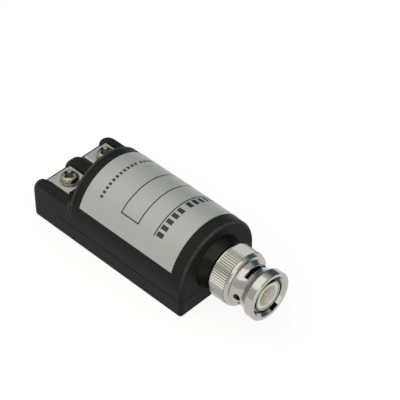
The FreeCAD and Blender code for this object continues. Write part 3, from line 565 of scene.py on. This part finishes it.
def curved_strip(name, along, turns, radii, steps):
    """A thin closed strip on the arch between two places, two turns from the left side up, and two radii."""
    work = bmesh.new()
    rows = []
    for i in range(steps + 1):
        turn = turns[0] + (turns[1] - turns[0]) * i / steps
        corners = [(along[0], radii[0]), (along[1], radii[0]), (along[1], radii[1]), (along[0], radii[1])]
        rows.append([work.verts.new((x, r * math.cos(turn), ARCH_AXIS + r * math.sin(turn)))
                     for x, r in corners])
    for row, after in zip(rows, rows[1:]):
        for i in range(4):
            work.faces.new((row[i], row[(i + 1) % 4], after[(i + 1) % 4], after[i]))
    work.faces.new(rows[0])
    work.faces.new(rows[-1])
    bmesh.ops.recalc_face_normals(work, faces=work.faces)
    mesh = bpy.data.meshes.new(name)
    work.to_mesh(mesh)
    work.free()
    return mesh


def turned_instances(tree, geometry, points, turn, axis, material):
    """Instances of a geometry turned about one axis, realized, with a material."""
    rotation = tree.xyz(**{axis: turn})
    instances = tree.add("GeometryNodeInstanceOnPoints", {
        "Points": points, "Instance": geometry, "Rotation": rotation,
    }).outputs[0]
    real = tree.add("GeometryNodeRealizeInstances", {0: instances}).outputs[0]
    return tree.add("GeometryNodeSetMaterial", {"Geometry": real, "Material": material}).outputs[0]


def blocks_tree():
    """A row of plain printed blocks that follows the arch, with one wider space in it."""
    group, tree, given, wanted = new_group("printed_blocks", "GeometryNodeTree", [
        ("Blocks", "NodeSocketInt", 10), ("Before the space", "NodeSocketInt", 5),
        ("Start", "NodeSocketFloat", 0.8), ("Step", "NodeSocketFloat", 0.1),
        ("Space", "NodeSocketFloat", 0.1),
        ("Block width", "NodeSocketFloat", MM), ("Block height", "NodeSocketFloat", MM),
        ("Place", "NodeSocketFloat", 0.0), ("Axis height", "NodeSocketFloat", ARCH_AXIS),
        ("Radius", "NodeSocketFloat", FILM_RADIUS), ("Thickness", "NodeSocketFloat", 0.02 * MM),
        ("Ink", "NodeSocketMaterial", None),
    ], [("Geometry", "NodeSocketGeometry")])
    size = tree.xyz(given["Block height"], given["Block width"], given["Thickness"])
    flat = tree.add("GeometryNodeMeshCube", {"Size": size, "Vertices Y": 7}).outputs["Mesh"]
    parts = tree.add("ShaderNodeSeparateXYZ", {0: tree.add("GeometryNodeInputPosition").outputs[0]}).outputs
    turn = tree.math("DIVIDE", parts["Y"], given["Radius"])
    radius = tree.math("ADD", parts["Z"], given["Radius"])
    bent = tree.xyz(parts["X"], tree.math("MULTIPLY", radius, tree.math("SINE", turn)),
                    tree.math("MULTIPLY", radius, tree.math("COSINE", turn)))
    block = tree.add("GeometryNodeSetPosition", {"Geometry": flat, "Position": bent}).outputs[0]
    points = tree.add("GeometryNodePoints", {
        "Count": given["Blocks"], "Position": tree.xyz(given["Place"], 0.0, given["Axis height"]),
    }).outputs[0]
    index = tree.add("GeometryNodeInputIndex").outputs[0]
    passed = tree.math("GREATER_THAN", index, tree.math("SUBTRACT", given["Before the space"], 0.5))
    turned = tree.math("ADD", given["Start"], tree.math("MULTIPLY", index, given["Step"]))
    turned = tree.math("ADD", turned, tree.math("MULTIPLY", passed, given["Space"]))
    tree.feed(wanted["Geometry"], turned_instances(tree, block, points, turned, "x", given["Ink"]))
    return group


def winding_tree():
    """Turns of round wire about a ring core's section, spread over an angle."""
    group, tree, given, wanted = new_group("winding", "GeometryNodeTree", [
        ("Turns", "NodeSocketInt", 7), ("Step", "NodeSocketFloat", 0.4), ("Middle", "NodeSocketFloat", 0.0),
        ("Inner", "NodeSocketFloat", MM), ("Outer", "NodeSocketFloat", MM), ("Low", "NodeSocketFloat", 0.0),
        ("High", "NodeSocketFloat", MM), ("Wire", "NodeSocketFloat", 0.45 * MM),
        ("Place", "NodeSocketFloat", 0.0), ("Enamel", "NodeSocketMaterial", None),
    ], [("Geometry", "NodeSocketGeometry")])
    section = tree.add("GeometryNodeCurvePrimitiveQuadrilateral", {
        "Width": tree.math("SUBTRACT", given["Outer"], given["Inner"]),
        "Height": tree.math("SUBTRACT", given["High"], given["Low"]),
    }, mode="RECTANGLE").outputs[0]
    rounded = tree.add("GeometryNodeFilletCurve", {
        "Curve": section, "Radius": tree.math("MULTIPLY", given["Wire"], 0.8), "Count": 5,
    }, mode="POLY").outputs[0]
    middle = tree.xyz(tree.math("MULTIPLY", tree.math("ADD", given["Inner"], given["Outer"]), 0.5), 0.0,
                      tree.math("MULTIPLY", tree.math("ADD", given["Low"], given["High"]), 0.5))
    upright = tree.add("GeometryNodeTransform", {
        "Geometry": rounded, "Translation": middle, "Rotation": (math.pi / 2, 0, 0),
    }).outputs[0]
    profile = tree.add("GeometryNodeCurvePrimitiveCircle", {
        "Resolution": WIRE_SIDES, "Radius": tree.math("MULTIPLY", given["Wire"], 0.5),
    }).outputs[0]
    loop = tree.add("GeometryNodeCurveToMesh", {"Curve": upright, "Profile Curve": profile}).outputs[0]
    smooth = tree.add("GeometryNodeSetShadeSmooth", {"Geometry": loop}).outputs[0]
    points = tree.add("GeometryNodePoints", {
        "Count": given["Turns"], "Position": tree.xyz(given["Place"]),
    }).outputs[0]
    index = tree.add("GeometryNodeInputIndex").outputs[0]
    half = tree.math("MULTIPLY", tree.math("SUBTRACT", given["Turns"], 1.0), 0.5)
    turned = tree.math("MULTIPLY", tree.math("SUBTRACT", index, half), given["Step"])
    turned = tree.math("ADD", given["Middle"], turned)
    tree.feed(wanted["Geometry"], turned_instances(tree, smooth, points, turned, "z", given["Enamel"]))
    return group


def thread_tree():
    """A screw thread as a ridge that climbs round an upright core."""
    group, tree, given, wanted = new_group("screw_thread", "GeometryNodeTree", [
        ("Core", "NodeSocketFloat", MM), ("Depth", "NodeSocketFloat", 0.3 * MM),
        ("Pitch", "NodeSocketFloat", 0.5 * MM), ("Length", "NodeSocketFloat", 5 * MM),
        ("Foot", "NodeSocketVector", (0, 0, 0)), ("Plating", "NodeSocketMaterial", None),
    ], [("Geometry", "NodeSocketGeometry")])
    helix = tree.add("GeometryNodeCurveSpiral", {
        "Resolution": TURN_STEPS, "Rotations": tree.math("DIVIDE", given["Length"], given["Pitch"]),
        "Start Radius": given["Core"], "End Radius": given["Core"], "Height": given["Length"],
    }).outputs[0]
    ridge = tree.add("GeometryNodeCurvePrimitiveCircle", {
        "Resolution": RIDGE_SIDES, "Radius": given["Depth"],
    }).outputs[0]
    thread = tree.add("GeometryNodeCurveToMesh", {"Curve": helix, "Profile Curve": ridge, "Fill Caps": True})
    placed = tree.add("GeometryNodeTransform", {
        "Geometry": thread.outputs[0], "Translation": given["Foot"],
    }).outputs[0]
    real = tree.add("GeometryNodeRealizeInstances", {0: placed}).outputs[0]
    tree.feed(wanted["Geometry"], tree.add("GeometryNodeSetMaterial", {
        "Geometry": real, "Material": given["Plating"],
    }).outputs[0])
    return group


class BALUN_OT_housing(bpy.types.Operator):
    """Give the two halves of the housing and the front collar their black moulded skin"""

    bl_idname = "balun.housing"
    bl_label = "Housing"

    def execute(self, context):
        look = context.scene.balun_plastic
        # the housing's colour carries painted light: a highlight on the arch's edges and shade along the seam
        black = moulded_material("black_moulding", look.black, look.roughness, look.grain, look.grain_depth,
                                 look.gloss, painted_light=housing_painted_light(look))
        dress(black, "top_shell", "bottom_cover")
        dark = moulded_material("collar_moulding", look.collar, look.collar_roughness, look.grain,
                                look.grain_depth / 2, look.collar_gloss)
        dress(dark, "front_collar")
        return {"FINISHED"}


class BALUN_OT_label(bpy.types.Operator):
    """Finish the label's film and lay its plain print on the arch"""

    bl_idname = "balun.label"
    bl_label = "Label"

    def execute(self, context):
        design = context.scene.balun_label
        film = moulded_material("silver_film", design.film, design.film_roughness, 0.5 * MM, 0.002 * MM,
                                metallic=design.film_metal)
        dress(film, "label")
        ink = moulded_material("black_ink", design.ink, design.ink_roughness, 0.2 * MM, 0.001 * MM)
        radii = (FILM_RADIUS - design.ink_thickness, FILM_RADIUS + design.ink_thickness)
        half_line = design.line / 2
        start = math.pi / 2 - design.box_turn
        end = math.pi / 2 + design.box_turn
        side = design.line / FILM_RADIUS
        strips = [((x - half_line, x + half_line), (start, end))
                  for x in (design.box_rear, design.box_front, design.underline)]
        strips += [((design.box_rear, design.box_front), (turn, turn + side)) for turn in (start, end - side)]
        meshes = [curved_strip("strip", along, turns, radii, STRIP_STEPS) for along, turns in strips]
        rows = [
            (design.large_rear, design.large_front, design.large_blocks, design.large_space,
             design.large_filled),
            (design.small_rear, design.small_front, design.small_blocks, design.small_space,
             design.small_filled),
        ]
        tree = blocks_tree()
        for rear, front, blocks, before, filled in rows:
            step = 2 * design.box_turn / (blocks + 0.5)
            meshes.append(grown_mesh("blocks", tree, {
                "Blocks": blocks, "Before the space": blocks - before, "Start": step / 2 - design.box_turn,
                "Step": step, "Space": step / 2, "Block width": step * FILM_RADIUS * filled,
                "Block height": front - rear, "Place": (rear + front) / 2, "Axis height": ARCH_AXIS,
                "Radius": FILM_RADIUS, "Thickness": design.ink_thickness * 2, "Ink": ink,
            }))
        finished_piece("label_print", joined("label_print", meshes), "housing", ink)
        return {"FINISHED"}


class BALUN_OT_plug(bpy.types.Operator):
    """Plate the plug's nut, body and rings, and finish its insulator, pin and gasket"""

    bl_idname = "balun.plug"
    bl_label = "Plug"

    def execute(self, context):
        metal = context.scene.balun_metal
        plastic = context.scene.balun_plastic
        nickel = plated_material("nickel_plating", metal.nickel, metal.nickel_roughness, metal)
        dress(nickel, "coupling_nut", "connector_body", "lock_nut", "ground_lug")
        zinc = plated_material("spring_steel", metal.zinc, metal.washer_roughness, metal)
        dress(zinc, "retaining_ring", "thrust_washer", "wave_washer", "lock_washer")
        gold = plated_material("gold_plating", metal.gold, metal.gold_roughness, metal)
        dress(gold, "centre_pin")
        white = moulded_material("white_insulator", plastic.white, plastic.white_roughness, 0.2 * MM,
                                 0.001 * MM)
        dress(white, "insulator")
        rubber = moulded_material("gasket_rubber", plastic.rubber, plastic.rubber_roughness, 0.2 * MM,
                                  0.003 * MM)
        dress(rubber, "gasket")
        return {"FINISHED"}


def threaded_screw(side, design, plating, dark, tree):
    """The terminal screw with a thread on its shank and painted shade in its cross recess, in place of the
    plain one.
    """
    name = "terminal_screw_" + side
    low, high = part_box(name)
    middle = (low + high) / 2
    head_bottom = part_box("clamp_plate_" + side)[1].z
    core = design.crest - design.depth
    work = bmesh.new()
    work.from_mesh(NODES[name].data)
    bmesh.ops.remove_doubles(work, verts=work.verts, dist=WELD)
    for vertex in work.verts:
        from_axis = Vector((vertex.co.x - middle.x, vertex.co.y - middle.y, 0))
        if vertex.co.z < head_bottom + SLACK and from_axis.length < design.crest + SLACK:
            vertex.co -= from_axis * (design.depth / design.crest)
    for face in work.faces:
        place = face.calc_center_median()
        near_axis = math.hypot(place.x - middle.x, place.y - middle.y) < design.recess
        # painted shade: faces inside the cross recess take the dark material
        face.material_index = int(near_axis and head_bottom < place.z < high.z - 2 * SLACK)
    blank = bpy.data.meshes.new("blank")
    work.to_mesh(blank)
    work.free()
    blank.materials.append(plating)
    blank.materials.append(dark)
    thread = grown_mesh("thread", tree, {
        "Core": core, "Depth": design.depth, "Pitch": design.pitch,
        "Length": head_bottom - low.z - design.pitch * 1.6, "Plating": plating,
        "Foot": (middle.x, middle.y, low.z + design.pitch),
    })
    piece = finished_piece(name + "_threaded", joined(name, [blank, thread]), "screw_" + side,
                           replaces=[name])
    for face in piece.data.polygons:
        face.use_smooth = True
    piece.data.set_sharp_from_angle(angle=SHARP_FROM)


class BALUN_OT_terminals(bpy.types.Operator):
    """Finish the clamp plates and contact strips and cut the thread on the terminal screws"""

    bl_idname = "balun.terminals"
    bl_label = "Terminals"

    def execute(self, context):
        metal = context.scene.balun_metal
        zinc = plated_material("zinc_plating", metal.zinc, metal.zinc_roughness, metal, turned=False)
        dress(zinc, "clamp_plate_left", "clamp_plate_right")
        nickel = plated_material("strip_plating", metal.nickel, metal.strip_roughness, metal, turned=False)
        dress(nickel, "contact_strip_left", "contact_strip_right")
        yellow = plated_material("screw_plating", metal.screw, metal.screw_roughness, metal, turned=False)
        # painted shade: a dark plating for the faces inside the screws' cross recess
        dark = plated_material("screw_recess_shade", metal.recess, metal.recess_roughness, metal, turned=False)
        tree = thread_tree()
        for side in ("left", "right"):
            threaded_screw(side, context.scene.balun_thread, yellow, dark, tree)
        return {"FINISHED"}


def banded_material(name, base, bands, first, pitch, axis):
    """A lacquered component with bands of colour across one axis."""
    material, tree, inputs = new_material(name, {"Roughness": 0.35})
    place = tree.add("ShaderNodeTexCoord").outputs["Object"]
    parts = tree.add("ShaderNodeSeparateXYZ", {0: place}).outputs
    specks = tree.add("ShaderNodeTexNoise", {"Vector": place, "Scale": 900.0}).outputs[0]
    shade = blend(tree, specks, solid(base), solid(base, 0.8))
    for i, band in enumerate(bands):
        offset = tree.math("ABSOLUTE", tree.math("SUBTRACT", parts[axis], first + i * pitch))
        inside = tree.math("LESS_THAN", offset, pitch * BAND_SHARE / 2)
        shade = blend(tree, inside, shade, solid(band))
    tree.feed(inputs["Base Color"], shade)
    return material


def board_material(look):
    """Green lacquer over copper tracks, with the weave of the glass just showing."""
    material, tree, inputs = new_material("board_lacquer", {"Roughness": 0.3})
    place = tree.add("ShaderNodeTexCoord").outputs["Object"]
    weave = tree.add("ShaderNodeTexBrick", {
        "Vector": place, "Scale": 1200.0, "Color1": solid(look.lacquer), "Color2": solid(look.weave),
        "Mortar": solid(look.between), "Mortar Size": 0.03,
    })
    tracks = tree.add("ShaderNodeTexBrick", {
        "Vector": place, "Scale": 130.0, "Color1": (0, 0, 0, 1), "Color2": (0, 0, 0, 1),
        "Mortar": (1, 1, 1, 1), "Mortar Size": 0.06, "Brick Width": 0.9, "Row Height": 0.35,
    })
    over_track = tree.math("MULTIPLY", tracks.outputs["Fac"], 0.5)
    shade = blend(tree, over_track, weave.outputs["Color"], solid(look.tracks))
    bump = tree.add("ShaderNodeBump", {"Distance": 0.02 * MM, "Height": tracks.outputs["Fac"]})
    tree.feed(inputs["Base Color"], shade)
    tree.feed(inputs["Normal"], bump.outputs[0])
    return material


class BALUN_OT_electronics(bpy.types.Operator):
    """Finish the board and its components and wind the transformer with round wire"""

    bl_idname = "balun.electronics"
    bl_label = "Electronics"

    def execute(self, context):
        look = context.scene.balun_electronics
        dress(board_material(look), "circuit_board")
        ferrite = moulded_material("ferrite", look.ferrite, 0.55, 0.15 * MM, 0.01 * MM)
        dress(ferrite, "transformer_core")
        coat = moulded_material("component_coat", look.capacitor, 0.3, 0.6 * MM, 0.01 * MM)
        dress(coat, "capacitor_left", "capacitor_right")
        blue = moulded_material("suppressor_coat", look.suppressor, 0.32, 0.6 * MM, 0.01 * MM)
        dress(blue, "surge_suppressor")
        banded = banded_material("resistor_coat", look.resistor, RESISTOR_BANDS, look.first_band,
                                 look.band_pitch, "Y")
        dress(banded, "resistor_rear", "resistor_front")

        design = context.scene.balun_winding
        enamel = moulded_material("wire_enamel", design.copper, 0.28, 0.3 * MM, 0.002 * MM, metallic=0.85)
        tree = winding_tree()
        clear = design.gap + design.wire / 2
        for name, middle in (("winding_line", 90), ("winding_camera", -90)):
            mesh = grown_mesh(name, tree, {
                "Turns": design.turns, "Step": design.step, "Middle": math.radians(middle),
                "Inner": design.hole - clear, "Outer": (CORE_HIGH.x - CORE_LOW.x) / 2 + clear,
                "Low": CORE_LOW.z - clear, "High": CORE_HIGH.z + clear, "Wire": design.wire,
                "Place": (CORE_LOW.x + CORE_HIGH.x) / 2, "Enamel": enamel,
            })
            finished_piece(name + "_wound", mesh, "housing", replaces=[name])
        return {"FINISHED"}


def lamp(name, place, towards, size, power, tint):
    """A soft rectangular lamp."""
    data = bpy.data.lights.new(name, "AREA")
    data.shape = "RECTANGLE"
    data.size, data.size_y = size
    data.energy = power
    data.color = tint
    made = bpy.data.objects.new(name, data)
    made.location = place
    made.rotation_euler = (Vector(towards) - Vector(place)).to_track_quat("-Z", "Y").to_euler()
    bpy.context.scene.collection.objects.link(made)


def studio_world(settings, dark_side):
    """Soft light from the near side over a dim far side, with a dark place in it for metal to show."""
    world = bpy.data.worlds.new("studio")
    world.use_nodes = True
    tree = Tree(world.node_tree)
    background = world.node_tree.nodes["Background"]
    direction = tree.add("ShaderNodeTexCoord").outputs["Generated"]

    def facing(towards):
        pair = {0: direction, 1: Vector(towards).normalized()}
        return tree.add("ShaderNodeVectorMath", pair, operation="DOT_PRODUCT").outputs["Value"]

    def step(value, least, most):
        return tree.add("ShaderNodeMapRange", {"Value": value, "From Min": least, "From Max": most},
                        interpolation_type="SMOOTHSTEP").outputs[0]

    near = step(facing(NEAR_SKY_TOWARDS), *NEAR_SKY_FADE)
    shade = blend(tree, near, solid(settings.far_sky), solid(settings.near_sky))
    edge = math.cos(settings.dark_spot)
    spot = step(facing(dark_side), edge - 0.02, edge + 0.01)
    tree.feed(background.inputs["Color"], blend(tree, spot, shade, solid(settings.dark_sky)))
    background.inputs["Strength"].default_value = 1.0
    bpy.context.scene.world = world


def floor_material(base):
    """Plain paper, whose glow and faint shadow the camera and reflections see instead of its full light."""
    material = bpy.data.materials.new("floor_paper")
    material.use_nodes = True
    material.node_tree.nodes.clear()
    tree = Tree(material.node_tree)
    path = tree.add("ShaderNodeLightPath").outputs
    seen = tree.math("MAXIMUM", path["Is Camera Ray"], path["Is Glossy Ray"])
    seen = tree.math("MAXIMUM", seen, path["Is Transmission Ray"])
    grain = tree.add("ShaderNodeTexNoise", {
        "Vector": tree.add("ShaderNodeTexCoord").outputs["Object"], "Scale": 60.0,
    }).outputs[0]
    paper = blend(tree, tree.math("MULTIPLY", grain, 0.1), solid(base), solid(base, 0.95))
    plain = tree.add("ShaderNodeBsdfDiffuse", {"Color": paper}).outputs[0]
    faint = tree.add("ShaderNodeBsdfDiffuse", {"Color": solid(base, FLOOR_SHADOW)}).outputs[0]
    glow = tree.add("ShaderNodeEmission", {"Color": solid((1, 1, 1)), "Strength": FLOOR_GLOW}).outputs[0]
    shown = tree.add("ShaderNodeAddShader", {0: faint, 1: glow}).outputs[0]
    mixed = tree.add("ShaderNodeMixShader", {0: seen, 1: plain, 2: shown}).outputs[0]
    output = tree.add("ShaderNodeOutputMaterial")
    tree.feed(output.inputs["Surface"], mixed)
    return material


class BALUN_OT_studio(bpy.types.Operator):
    """Set up the floor, the lamps and the camera"""

    bl_idname = "balun.studio"
    bl_label = "Studio"

    def execute(self, context):
        settings = context.scene.balun_studio
        reach, low = settings.floor_reach, -settings.floor_drop
        mesh = bpy.data.meshes.new("floor")
        corners = [(-reach, -reach, low), (reach, -reach, low), (reach, reach, low), (-reach, reach, low)]
        mesh.from_pydata(corners, [], [(0, 1, 2, 3)])
        mesh.materials.append(floor_material(settings.floor))
        floor = bpy.data.objects.new("floor", mesh)
        context.scene.collection.objects.link(floor)

        lamp("key_lamp", settings.key_place, settings.lit, (1.0, 0.8), settings.key, (1, 0.99, 0.97))
        lamp("fill_lamp", settings.fill_place, settings.lit, (0.4, 0.4), settings.fill, (1, 1, 1))
        turn, tilt = settings.azimuth, settings.elevation
        back = Vector((math.sin(turn) * math.cos(tilt), -math.cos(turn) * math.cos(tilt), math.sin(tilt)))
        studio_world(settings, back)

        camera = bpy.data.objects.new("camera", bpy.data.cameras.new("camera"))
        camera.location = Vector(settings.target) + back * settings.distance
        camera.rotation_euler = (-back).to_track_quat("-Z", "Y").to_euler()
        camera.data.lens = settings.lens
        camera.data.clip_start = 0.01
        camera.data.clip_end = 20
        context.scene.collection.objects.link(camera)
        context.scene.camera = camera
        context.scene.view_settings.view_transform = "Standard"
        return {"FINISHED"}


STEPS = (BALUN_OT_housing, BALUN_OT_label, BALUN_OT_plug, BALUN_OT_terminals, BALUN_OT_electronics,
         BALUN_OT_studio)


class BALUN_PT_steps(bpy.types.Panel):
    """The steps that finish the balun, with their sizes and colours"""

    bl_idname = "BALUN_PT_steps"
    bl_label = "Video balun"
    bl_space_type = "VIEW_3D"
    bl_region_type = "UI"
    bl_category = "Balun"

    def draw(self, context):
        for step in STEPS:
            self.layout.operator(step.bl_idname)
        for name, group in GROUPS.items():
            box = self.layout.box()
            for item in group.__annotations__:
                box.prop(getattr(context.scene, name), item)


CLASSES = (*GROUPS.values(), *STEPS, BALUN_PT_steps)


def register():
    for cls in CLASSES:
        bpy.utils.register_class(cls)
    for name, group in GROUPS.items():
        setattr(bpy.types.Scene, name, PointerProperty(type=group))


def unregister():
    for name in GROUPS:
        delattr(bpy.types.Scene, name)
    for cls in reversed(CLASSES):
        bpy.utils.unregister_class(cls)


def main():
    register()
    bpy.ops.balun.housing()
    bpy.ops.balun.label()
    bpy.ops.balun.plug()
    bpy.ops.balun.terminals()
    bpy.ops.balun.electronics()
    bpy.ops.balun.studio()


if __name__ == "__main__":
    main()
